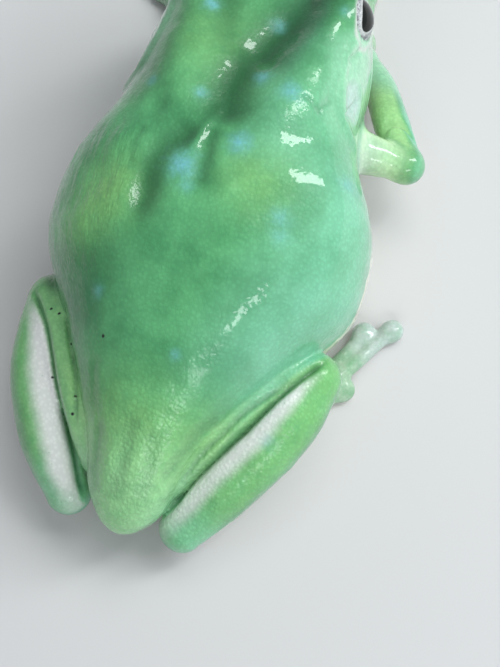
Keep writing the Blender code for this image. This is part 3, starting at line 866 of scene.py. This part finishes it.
def fold_shade_share(w):
    """Painted shade in the bottoms of the folds on the back and the legs."""
    folds = [min(1, -height) * line.strength(w.flat) ** 0.6 for height, line in back_lines if height < 0]
    folds += [-height * line.strength(w.flat) for height, line in thigh_lines]
    for side, line in leg_creases.items():
        on_thigh_side = fading(w.past_crease[side], 0.0, 0.6)
        folds.append(LEG_CREASE_DEPTH * line.strength(w.flat) ** 0.7 * on_thigh_side)
    return np.max(folds, 0)


def painted_shade_share(w):
    """Painted shade: dark green in folds, mouth groove and nostrils, on the left side and on the outer left
    shank.
    """
    # Painted shade on the left flank by the left thigh and on the left cheek, the side away from the light.
    left_side = ramp(w.out, 4, 17) * ramp(w.station, 58, 66) * fading(w.station, 80, 90)
    left_side = left_side * ramp(w.from_thigh[LEFT], 0.2, 1.5)
    left_cheek_shade = ramp(w.out, 6, 15) * fading(w.station, 30, 42)
    # Painted shade in the nostril openings and along the mouth groove.
    nostril_shade = both_sides(w.p, NOSTRIL, 0.7)
    mouth = side_lines[0][1].strength(w.p[:, 1:]) * fading(w.station, 27, 29)
    mouth = mouth * ramp(np.abs(w.over_middle), -1, 1)
    shaded = (0.6 * left_side + 0.5 * left_cheek_shade + 0.6 * mouth) * w.on_body
    return fold_shade_share(w) * w.on_top + shaded + nostril_shade + 0.45 * w.shaded_outer_shank


def lilac_share(w):
    """The greyish pink of the ear drums, arm roots and toe tips, and painted grey shade on the outer left
    shank.
    """
    ear = fading(ear_reach(w.p), 0.6, 1.15) * ramp(np.abs(w.out), 11, 13)
    arm_root = both_sides(w.p, ARM_ROOT, ARM_ROOT_RADIUS) * fading(w.level, 17, 20)
    return 0.7 * ear + 0.9 * arm_root + 0.7 * w.tips + 0.15 * w.shaded_outer_shank


def lid_share(w):
    """The pale rims of the lids and the lower lids."""
    rims = np.zeros(len(w.p))
    for side in SIDES:
        across, over, away = seen_on_eye(w.p, side, OPENING_RISE, OPENING_AHEAD)
        rim = bump(opening_share(across, over), 1.0, 0.07) * fading(away, EYE_RADIUS + 1.2, EYE_RADIUS + 2.0)
        lower = 0.45 * ramp(-over, 15, 40) * fading(away, EYE_RADIUS + 1.0, EYE_RADIUS + 2.2)
        rims = np.max([rims, rim, lower * fading(np.abs(across), 50, 80)], 0)
    return rims


def skin_marks(w):
    """The masks that the skin's material reads, one value a point."""
    under = underside_share(w)
    on_gland = gland_line.strength(w.mirrored) * w.on_body * w.on_top
    left_side = ramp(w.out, 7, 13) * ramp(w.station, 40, 46) * fading(w.station, 62, 72) * w.on_body
    dots = [spot(w.p, place, PIN_DOT_RADIUS) for place in PIN_DOTS]
    marks = {
        "stripe": w.stripe,
        "under": under,
        "lips": w.on_body * fading(w.station, 22, 27) * bump(w.over_middle, -2.3 - 0.05 * w.station, 0.6),
        "mint": mint_share(w),
        "pale": w.upper_arms * (1 - 0.35 * ramp(w.facing_up, 0.6, 1.0)) + 0.4 * w.inner_arm,
        "blue": blue_share(w),
        "dots": np.max(dots, 0) * ramp(w.facing_up, 0.0, 0.4),
        "yellow": yellow_share(w),
        # Own bluish green of heels and forearms, and a painted sheen on the lit right side.
        "teal_and_sheen": teal_and_sheen_share(w),
        # Painted shade in folds, hollows and on the side away from the light.
        "painted_shade": painted_shade_share(w),
        "lilac": lilac_share(w),
        "lids": lid_share(w),
        "paws": w.paws * ramp(w.facing_up, -0.4, 0.2),
        "pebble": 0.35 + 0.65 * w.rump + under + 0.3 * w.legs,
        "cracked": on_gland * ramp(-w.out, 6, 9) * fading(w.station, 36, 40),
        "bumpy": 0.8 * on_gland + ramp(w.station, 60, 75) + ramp(w.out, 6, 12),
        "dry": 0.9 * ramp(w.station, 62, 78) + w.legs + 0.9 * ramp(w.out, 3, 8) * ramp(w.station, 36, 44),
        "striae": left_side + 0.8 * w.rump,
    }
    return {name: values.clip(0, 1) for name, values in marks.items()}


def roughened(p, normal, marks):
    """The skin with its fine lumps and grains, which are too small for the field."""
    off_floor = ramp(p[:, 2], 0.15, 1.2)
    lumps = (0.02 + 0.05 * marks["bumpy"]) * (grain(p, 2.6, 1) + 0.5 * grain(p, 1.3, 2))
    belly = 0.10 * marks["under"] * grain(p, 0.95, 4)
    creases = 0.07 * marks["striae"] * grain(p, (0.9, 4.5, 0.9), 7)
    return p + normal * ((lumps + belly + creases) * off_floor)[:, None]


def mesh_of(name, points, quads):
    mesh = bpy.data.meshes.new(name)
    mesh.vertices.add(len(points))
    mesh.vertices.foreach_set("co", points.ravel())
    mesh.loops.add(quads.size)
    mesh.loops.foreach_set("vertex_index", quads.ravel())
    mesh.polygons.add(len(quads))
    mesh.polygons.foreach_set("loop_start", np.arange(0, quads.size, 4))
    mesh.polygons.foreach_set("use_smooth", np.ones(len(quads), bool))
    mesh.update(calc_edges=True)
    mesh.validate()
    return mesh


def add_marks(mesh, marks):
    for name, values in marks.items():
        mesh.attributes.new(name, "FLOAT", "POINT").data.foreach_set("value", values.astype(np.float32))


def placed(name, mesh, material):
    obj = bpy.data.objects.new(name, mesh)
    bpy.context.scene.collection.objects.link(obj)
    mesh.materials.append(material)
    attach(obj, "root")
    return obj


def skin():
    frog = Frog()
    low = np.array(GRID_LOW)
    counts = (np.ceil((GRID_HIGH - low) / CELL / BLOCK) * BLOCK).astype(int)
    points, quads = surface_of(sampled(frog, low, counts), low)
    points, normal = settled(frog, points)
    points = unfolded(points, normal, quads)
    marks = skin_marks(Where(frog, points, normal))
    points = roughened(points, normal, marks)
    points[:, 2] = np.maximum(points[:, 2], 0)
    mesh = mesh_of("skin", to_world(points), quads)
    add_marks(mesh, marks)
    obj = placed("skin", mesh, skin_material())
    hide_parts(*[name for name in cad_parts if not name.startswith("eye")])


def eyeball(side):
    """One eye: a globe with a clear bulge over a flat iris. Its rings run round the line of sight."""
    spokes = EYE_SPOKES
    turn = np.linspace(0, math.pi, EYE_RINGS + 1)[1:-1, None]
    around = np.linspace(0, 2 * math.pi, spokes, endpoint=False)[None]
    forward, up, gaze = axes_of(side, GAZE_RISE, GAZE_AHEAD)
    radius = EYE_RADIUS + EYE_BULGE * fading(np.degrees(turn), 18, 56)
    direction = (
        (np.sin(turn) * np.cos(around))[..., None] * forward
        + (np.sin(turn) * np.sin(around))[..., None] * up
        + (np.cos(turn) * np.ones_like(around))[..., None] * gaze
    )
    body = (eye_centre(side) + direction * radius[..., None]).reshape(-1, 3)
    poles = np.stack([eye_centre(side) + gaze * radius[0], eye_centre(side) - gaze * EYE_RADIUS])
    points = np.concatenate([body, poles])
    ring = np.arange(EYE_RINGS - 2)[:, None] * spokes
    here = np.arange(spokes)[None]
    after = (here + 1) % spokes
    below = ring + spokes
    quads = np.stack([ring + here, ring + after, below + after, below + here], -1).reshape(-1, 4)
    if side == LEFT:
        quads = quads[:, ::-1]
    faces = quads.tolist()
    last = (EYE_RINGS - 2) * spokes
    for k in range(spokes):
        k_after = (k + 1) % spokes
        front, back = [len(body), k_after, k], [len(body) + 1, last + k, last + k_after]
        faces += [front[::-1], back[::-1]] if side == LEFT else [front, back]
    mesh = bpy.data.meshes.new(f"eyeball_{WORD[side]}")
    mesh.from_pydata(to_world(points).tolist(), [], faces)
    mesh.polygons.foreach_set("use_smooth", np.ones(len(mesh.polygons), bool))
    across, over, _ = seen_on_eye(points, side, GAZE_RISE, GAZE_AHEAD)
    add_marks(mesh, {"across": across / PUPIL_HALF_LENGTH, "over": over / PUPIL_HALF_HEIGHT})
    obj = placed(f"eyeball_{WORD[side]}", mesh, eye_material())
    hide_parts(f"eye_{WORD[side]}")


# Materials


class Nodes:
    """Builds the nodes of one material. A socket passed in as a value is linked, a number is set."""

    def __init__(self, name, **settings):
        self.material = bpy.data.materials.new(name)
        self.material.use_nodes = True
        self.tree = self.material.node_tree
        self.shader = self.tree.nodes["Principled BSDF"]
        for socket, value in settings.items():
            self.shader.inputs[socket.replace("_", " ")].default_value = value

    def put(self, socket, value):
        if isinstance(value, bpy.types.NodeSocket):
            self.tree.links.new(value, socket)
        else:
            socket.default_value = value

    def node(self, kind, inputs, **settings):
        made = self.tree.nodes.new(kind)
        for name, value in settings.items():
            setattr(made, name, value)
        for name, value in inputs.items():
            self.put(made.inputs[name], value)
        return made

    def mark(self, name):
        return self.node("ShaderNodeAttribute", {}, attribute_name=name).outputs["Fac"]

    def place(self):
        return self.node("ShaderNodeTexCoord", {}).outputs["Object"]

    def stretched(self, scale):
        return self.node("ShaderNodeMapping", {"Vector": self.place(), "Scale": scale}).outputs["Vector"]

    def noise(self, size, detail=3.0, vector=None, rough=0.55):
        """Noise from 0 to 1 with features of that size in millimetres."""
        inputs = {"Vector": vector or self.place(), "Scale": 1 / (size * MM)}
        inputs |= {"Detail": detail, "Roughness": rough}
        return self.node("ShaderNodeTexNoise", inputs).outputs["Fac"]

    def cells(self, size):
        """The distance from the middles of cells of that size in millimetres."""
        inputs = {"Vector": self.place(), "Scale": 1 / (size * MM)}
        return self.node("ShaderNodeTexVoronoi", inputs).outputs["Distance"]

    def maths(self, operation, a, b=0.0):
        return self.node("ShaderNodeMath", {0: a, 1: b}, operation=operation).outputs[0]

    def times(self, a, b):
        return self.maths("MULTIPLY", a, b)

    def plus(self, a, b):
        return self.maths("ADD", a, b)

    def ramped(self, value, low, high, to_low=0.0, to_high=1.0):
        inputs = {"Value": value, "From Min": low, "From Max": high, "To Min": to_low, "To Max": to_high}
        return self.node("ShaderNodeMapRange", inputs, interpolation_type="SMOOTHSTEP").outputs["Result"]

    def mixed(self, share, first, second, blend_type="MIX"):
        made = self.tree.nodes.new("ShaderNodeMix")
        made.data_type, made.blend_type = "RGBA", blend_type
        for socket, value in ((0, share), (6, first), (7, second)):
            self.put(made.inputs[socket], value)
        return made.outputs[2]

    def bumped(self, height, distance):
        inputs = {"Height": height, "Distance": distance * MM, "Strength": 1.0}
        return self.node("ShaderNodeBump", inputs).outputs["Normal"]


MOSS = (0.055, 0.275, 0.105, 1)
LEAF = (0.120, 0.450, 0.185, 1)
YELLOW_GREEN = (0.300, 0.640, 0.190, 1)
# Bluish green: the heels' and outer forearms' own colour, and a painted sheen on the lit right side.
TEAL_AND_SHEEN = (0.210, 0.580, 0.380, 1)
# The dark green of painted shade, in folds and on the side away from the light.
SHADE_GREEN = (0.012, 0.095, 0.030, 1)
SKY = (0.170, 0.510, 0.540, 1)
CREAM = (0.740, 0.760, 0.600, 1)
STRIPE = (0.790, 0.810, 0.790, 1)
MINT = (0.400, 0.740, 0.500, 1)
PALE = (0.580, 0.860, 0.460, 1)
LILAC = (0.560, 0.600, 0.660, 1)
LIP = (0.620, 0.760, 0.560, 1)
LID = (0.560, 0.620, 0.560, 1)
PAW = (0.430, 0.590, 0.430, 1)
BLACK = (0.010, 0.012, 0.010, 1)
SILVER, VEIN, FLECK = (0.50, 0.52, 0.54, 1), (0.16, 0.17, 0.18, 1), (0.70, 0.70, 0.66, 1)
PUPIL_RIM, IRIS_EDGE = (0.66, 0.68, 0.66, 1), (0.05, 0.06, 0.06, 1)


def skin_material():
    """Wet green skin with soft clouds of colour, pale spots, stripes and a grain that follows the masks."""
    n = Nodes("frog_skin", IOR=1.42, Coat_Weight=1.0, Coat_Roughness=0.05, Coat_IOR=1.45)
    clouds = n.ramped(n.noise(7.0, 4.0), 0.30, 0.70, 0.15, 0.95)
    speckle = n.noise(0.55, 4.0, rough=0.7)
    mottle = n.noise(1.8, 4.0, rough=0.65)
    pebbles = n.cells(0.62)

    def ragged(name, roughness, low=0.25, high=0.85):
        """A mask with a ragged edge."""
        uneven = n.times(n.maths("SUBTRACT", mottle, 0.5), roughness)
        return n.ramped(n.plus(n.mark(name), uneven), low, high)

    def patchy(name, texture, *span):
        """A mask that a texture breaks up."""
        return n.times(n.mark(name), n.ramped(texture, *span))

    colour = n.mixed(clouds, MOSS, LEAF)
    colour = n.mixed(patchy("yellow", mottle, 0.2, 0.7, 0.55, 1.0), colour, YELLOW_GREEN)
    # Own teal of heels and forearms, and a painted sheen on the lit right side.
    colour = n.mixed(patchy("teal_and_sheen", clouds, 0.0, 1.0, 0.6, 1.0), colour, TEAL_AND_SHEEN)
    # Painted shade: folds, mouth groove, nostrils, the left side and the outer left shank are darkened.
    colour = n.mixed(n.times(n.mark("painted_shade"), 0.9), colour, SHADE_GREEN)
    colour = n.mixed(patchy("mint", mottle, 0.3, 0.7, 0.65, 0.95), colour, MINT)
    colour = n.mixed(patchy("pale", mottle, 0.3, 0.7, 0.75, 1.0), colour, PALE)
    colour = n.mixed(patchy("paws", mottle, 0.3, 0.7, 0.4, 0.85), colour, PAW)
    colour = n.mixed(patchy("blue", speckle, 0.3, 0.6, 0.5, 0.95), colour, SKY)
    colour = n.mixed(ragged("under", 1.2, 0.3, 0.7), colour, CREAM)
    colour = n.mixed(n.times(ragged("lips", 0.6), 0.8), colour, LIP)
    colour = n.mixed(ragged("stripe", 0.3, 0.05, 0.95), colour, STRIPE)
    colour = n.mixed(patchy("lilac", mottle, 0.25, 0.7, 0.45, 0.85), colour, LILAC)
    colour = n.mixed(n.mark("lids"), colour, LID)
    grains = n.ramped(pebbles, 0.0, 0.75, 1.05, 0.92)
    grains = n.node("ShaderNodeCombineColor", {0: grains, 1: grains, 2: grains}).outputs[0]
    colour = n.mixed(1.0, colour, grains, "MULTIPLY")
    freckles = n.ramped(n.cells(1.9), 0.10, 0.05)
    colour = n.mixed(n.times(freckles, 0.25), colour, MOSS)
    colour = n.mixed(n.ramped(n.mark("dots"), 0.3, 0.7), colour, BLACK)
    n.put(n.shader.inputs["Base Color"], colour)
    n.put(n.shader.inputs["Roughness"], n.ramped(n.noise(1.1, 3.0), 0.3, 0.7, 0.30, 0.50))

    domes = n.times(n.ramped(pebbles, 0.0, 0.8, 1.0, 0.0), n.mark("pebble"))
    lines = n.noise(0.42, 2.0, n.stretched((1.0, 0.13, 1.0)), 0.6)
    lines = n.times(lines, n.ramped(n.mark("striae"), 0.0, 1.0, 0.15, 1.0))
    fine = n.plus(n.plus(n.times(domes, 0.45), n.times(lines, 0.9)), n.times(speckle, 0.35))
    n.put(n.shader.inputs["Normal"], n.bumped(fine, 0.16))
    wet = n.plus(n.noise(2.2, 2.0), n.times(fine, n.ramped(n.mark("dry"), 0.0, 1.0, 0.15, 1.6)))
    cracks = n.times(n.noise(0.7, 3.0), n.times(n.mark("cracked"), 2.6))
    n.put(n.shader.inputs["Coat Normal"], n.bumped(n.plus(wet, cracks), 0.07))
    return n.material


def eye_material():
    """A silver iris with fine dark veins round a wide black pupil, under a wet clear surface."""
    n = Nodes("frog_eye", Roughness=0.3, IOR=1.2, Coat_Weight=1.0, Coat_Roughness=0.02, Coat_IOR=1.26)
    across, over = n.mark("across"), n.mark("over")
    length = n.maths("POWER", n.maths("ABSOLUTE", across), 1.7)
    height = n.maths("POWER", n.maths("ABSOLUTE", over), 2.0)
    reach = n.maths("SQRT", n.plus(length, height))
    veins = n.noise(0.5, 5.0, rough=0.75)
    flecks = n.noise(0.16, 3.0, rough=0.7)
    iris = n.mixed(n.ramped(veins, 0.42, 0.6), VEIN, SILVER)
    iris = n.mixed(n.ramped(flecks, 0.5, 0.75, 0.0, 0.5), iris, FLECK)
    iris = n.mixed(n.ramped(reach, 1.25, 1.02, 0.0, 0.6), iris, PUPIL_RIM)
    iris = n.mixed(n.ramped(reach, 1.7, 2.4, 0.0, 0.75), iris, IRIS_EDGE)
    edge = n.plus(reach, n.times(n.maths("SUBTRACT", flecks, 0.5), 0.05))
    n.put(n.shader.inputs["Base Color"], n.mixed(n.ramped(edge, 0.97, 1.02), BLACK, iris))
    return n.material


# Stage


PICTURE_HEIGHT, SENSOR = 667, 36
CAMERA_BACK, CAMERA_SIDE, CAMERA_ROLL = 16.0, 9.0, 17.3
CAMERA_DISTANCE, NEAREST_SEEN = 0.200, 0.005
PIXELS_AT_UNIT_DISTANCE = 1300
CAMERA_TARGET = (-10.5, 64.6, 15.0)
FLOOR_REACH, FLOOR_LEVEL = 3.0, -0.05 * MM
FLOOR_COLOUR, FLOOR_ROUGHNESS = (0.62, 0.62, 0.62, 1), 0.7
AIR_COLOUR, AIR_STRENGTH = (0.84, 0.92, 1.0, 1), 0.30
LAMP_AIM = Vector((0, 0, 0.02))
DAYLIGHT, NORTH_LIGHT, WARM_LIGHT = (0.95, 0.98, 1.0), (0.93, 0.97, 1.0), (1.0, 1.0, 0.98)
# The lamps: direction, distance, width and height in metres, watts, colour, and whether the skin mirrors it.
LAMPS = {
    "window": ((-0.56, -0.46, 0.69), 0.6, (0.11, 0.34), 1.4, DAYLIGHT, True),
    "side_fill": ((-0.80, -0.30, 0.52), 0.6, (0.30, 0.30), 1.5, DAYLIGHT, False),
    "rear_window": ((-0.56, 0.62, 0.54), 0.7, (0.18, 0.10), 0.5, NORTH_LIGHT, True),
    "sky": ((-0.15, -0.5, 0.85), 0.8, (0.5, 0.4), 2.1, WARM_LIGHT, False),
    "rear_fill": ((-0.2, 0.85, 0.5), 0.8, (0.5, 0.4), 1.7, WARM_LIGHT, False),
}


def camera():
    """Above the animal and a little behind it and to its right, rolled so that the head points up right."""
    back, side, roll = (math.radians(a) for a in (CAMERA_BACK, CAMERA_SIDE, CAMERA_ROLL))
    toward = Vector((-math.tan(side), math.tan(back), 1)).normalized()
    ahead = Vector((0, -1, 0))
    ahead = (ahead - ahead.dot(toward) * toward).normalized()
    right_of_ahead = (-toward).cross(ahead)
    up = math.cos(roll) * ahead - math.sin(roll) * right_of_ahead
    right = (-toward).cross(up)
    turned = Matrix((right, up, toward)).transposed().to_4x4()
    target = Vector(to_world(np.array([CAMERA_TARGET]))[0])
    turned.translation = target + toward * CAMERA_DISTANCE
    made = bpy.data.cameras.new("camera")
    made.sensor_width = SENSOR
    made.lens = SENSOR * PIXELS_AT_UNIT_DISTANCE / PICTURE_HEIGHT
    made.clip_start = NEAREST_SEEN
    obj = bpy.data.objects.new("camera", made)
    obj.matrix_world = turned
    bpy.context.scene.collection.objects.link(obj)
    bpy.context.scene.camera = obj


def floor():
    mesh = bpy.data.meshes.new("floor")
    turns = ((-1, -1), (1, -1), (1, 1), (-1, 1))
    corners = [(x * FLOOR_REACH, y * FLOOR_REACH, FLOOR_LEVEL) for x, y in turns]
    mesh.from_pydata(corners, [], [(0, 1, 2, 3)])
    obj = bpy.data.objects.new("floor", mesh)
    bpy.context.scene.collection.objects.link(obj)
    made = bpy.data.materials.new("floor")
    made.use_nodes = True
    shader = made.node_tree.nodes["Principled BSDF"]
    shader.inputs["Base Color"].default_value = FLOOR_COLOUR
    shader.inputs["Roughness"].default_value = FLOOR_ROUGHNESS
    mesh.materials.append(made)


def lamp(name, direction, distance, size, power, colour, mirrored):
    """A soft rectangular lamp that shines on the animal from a direction."""
    made = bpy.data.lights.new(name, "AREA")
    made.shape = "RECTANGLE"
    made.size, made.size_y = size
    made.energy = power
    made.color = colour
    obj = bpy.data.objects.new(name, made)
    away = Vector(direction).normalized()
    obj.location = away * distance + LAMP_AIM
    obj.rotation_euler = away.to_track_quat("Z", "Y").to_euler()
    obj.visible_glossy = mirrored
    bpy.context.scene.collection.objects.link(obj)


def lighting():
    """Soft daylight from the animal's right, with a window's reflection on the wet skin."""
    world = bpy.data.worlds.new("studio")
    world.use_nodes = True
    background = world.node_tree.nodes["Background"]
    background.inputs["Color"].default_value = AIR_COLOUR
    background.inputs["Strength"].default_value = AIR_STRENGTH
    bpy.context.scene.world = world
    for name, settings in LAMPS.items():
        lamp(name, *settings)


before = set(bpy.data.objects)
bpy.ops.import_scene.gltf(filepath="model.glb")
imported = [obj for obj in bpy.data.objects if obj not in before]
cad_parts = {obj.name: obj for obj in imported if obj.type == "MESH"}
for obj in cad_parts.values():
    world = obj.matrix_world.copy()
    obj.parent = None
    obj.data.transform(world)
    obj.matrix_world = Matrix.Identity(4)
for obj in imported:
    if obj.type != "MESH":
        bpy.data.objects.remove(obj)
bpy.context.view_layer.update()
bpy.context.scene.view_settings.view_transform = "Standard"
camera()
floor()
lighting()
skin()
for side in SIDES:
    eyeball(side)
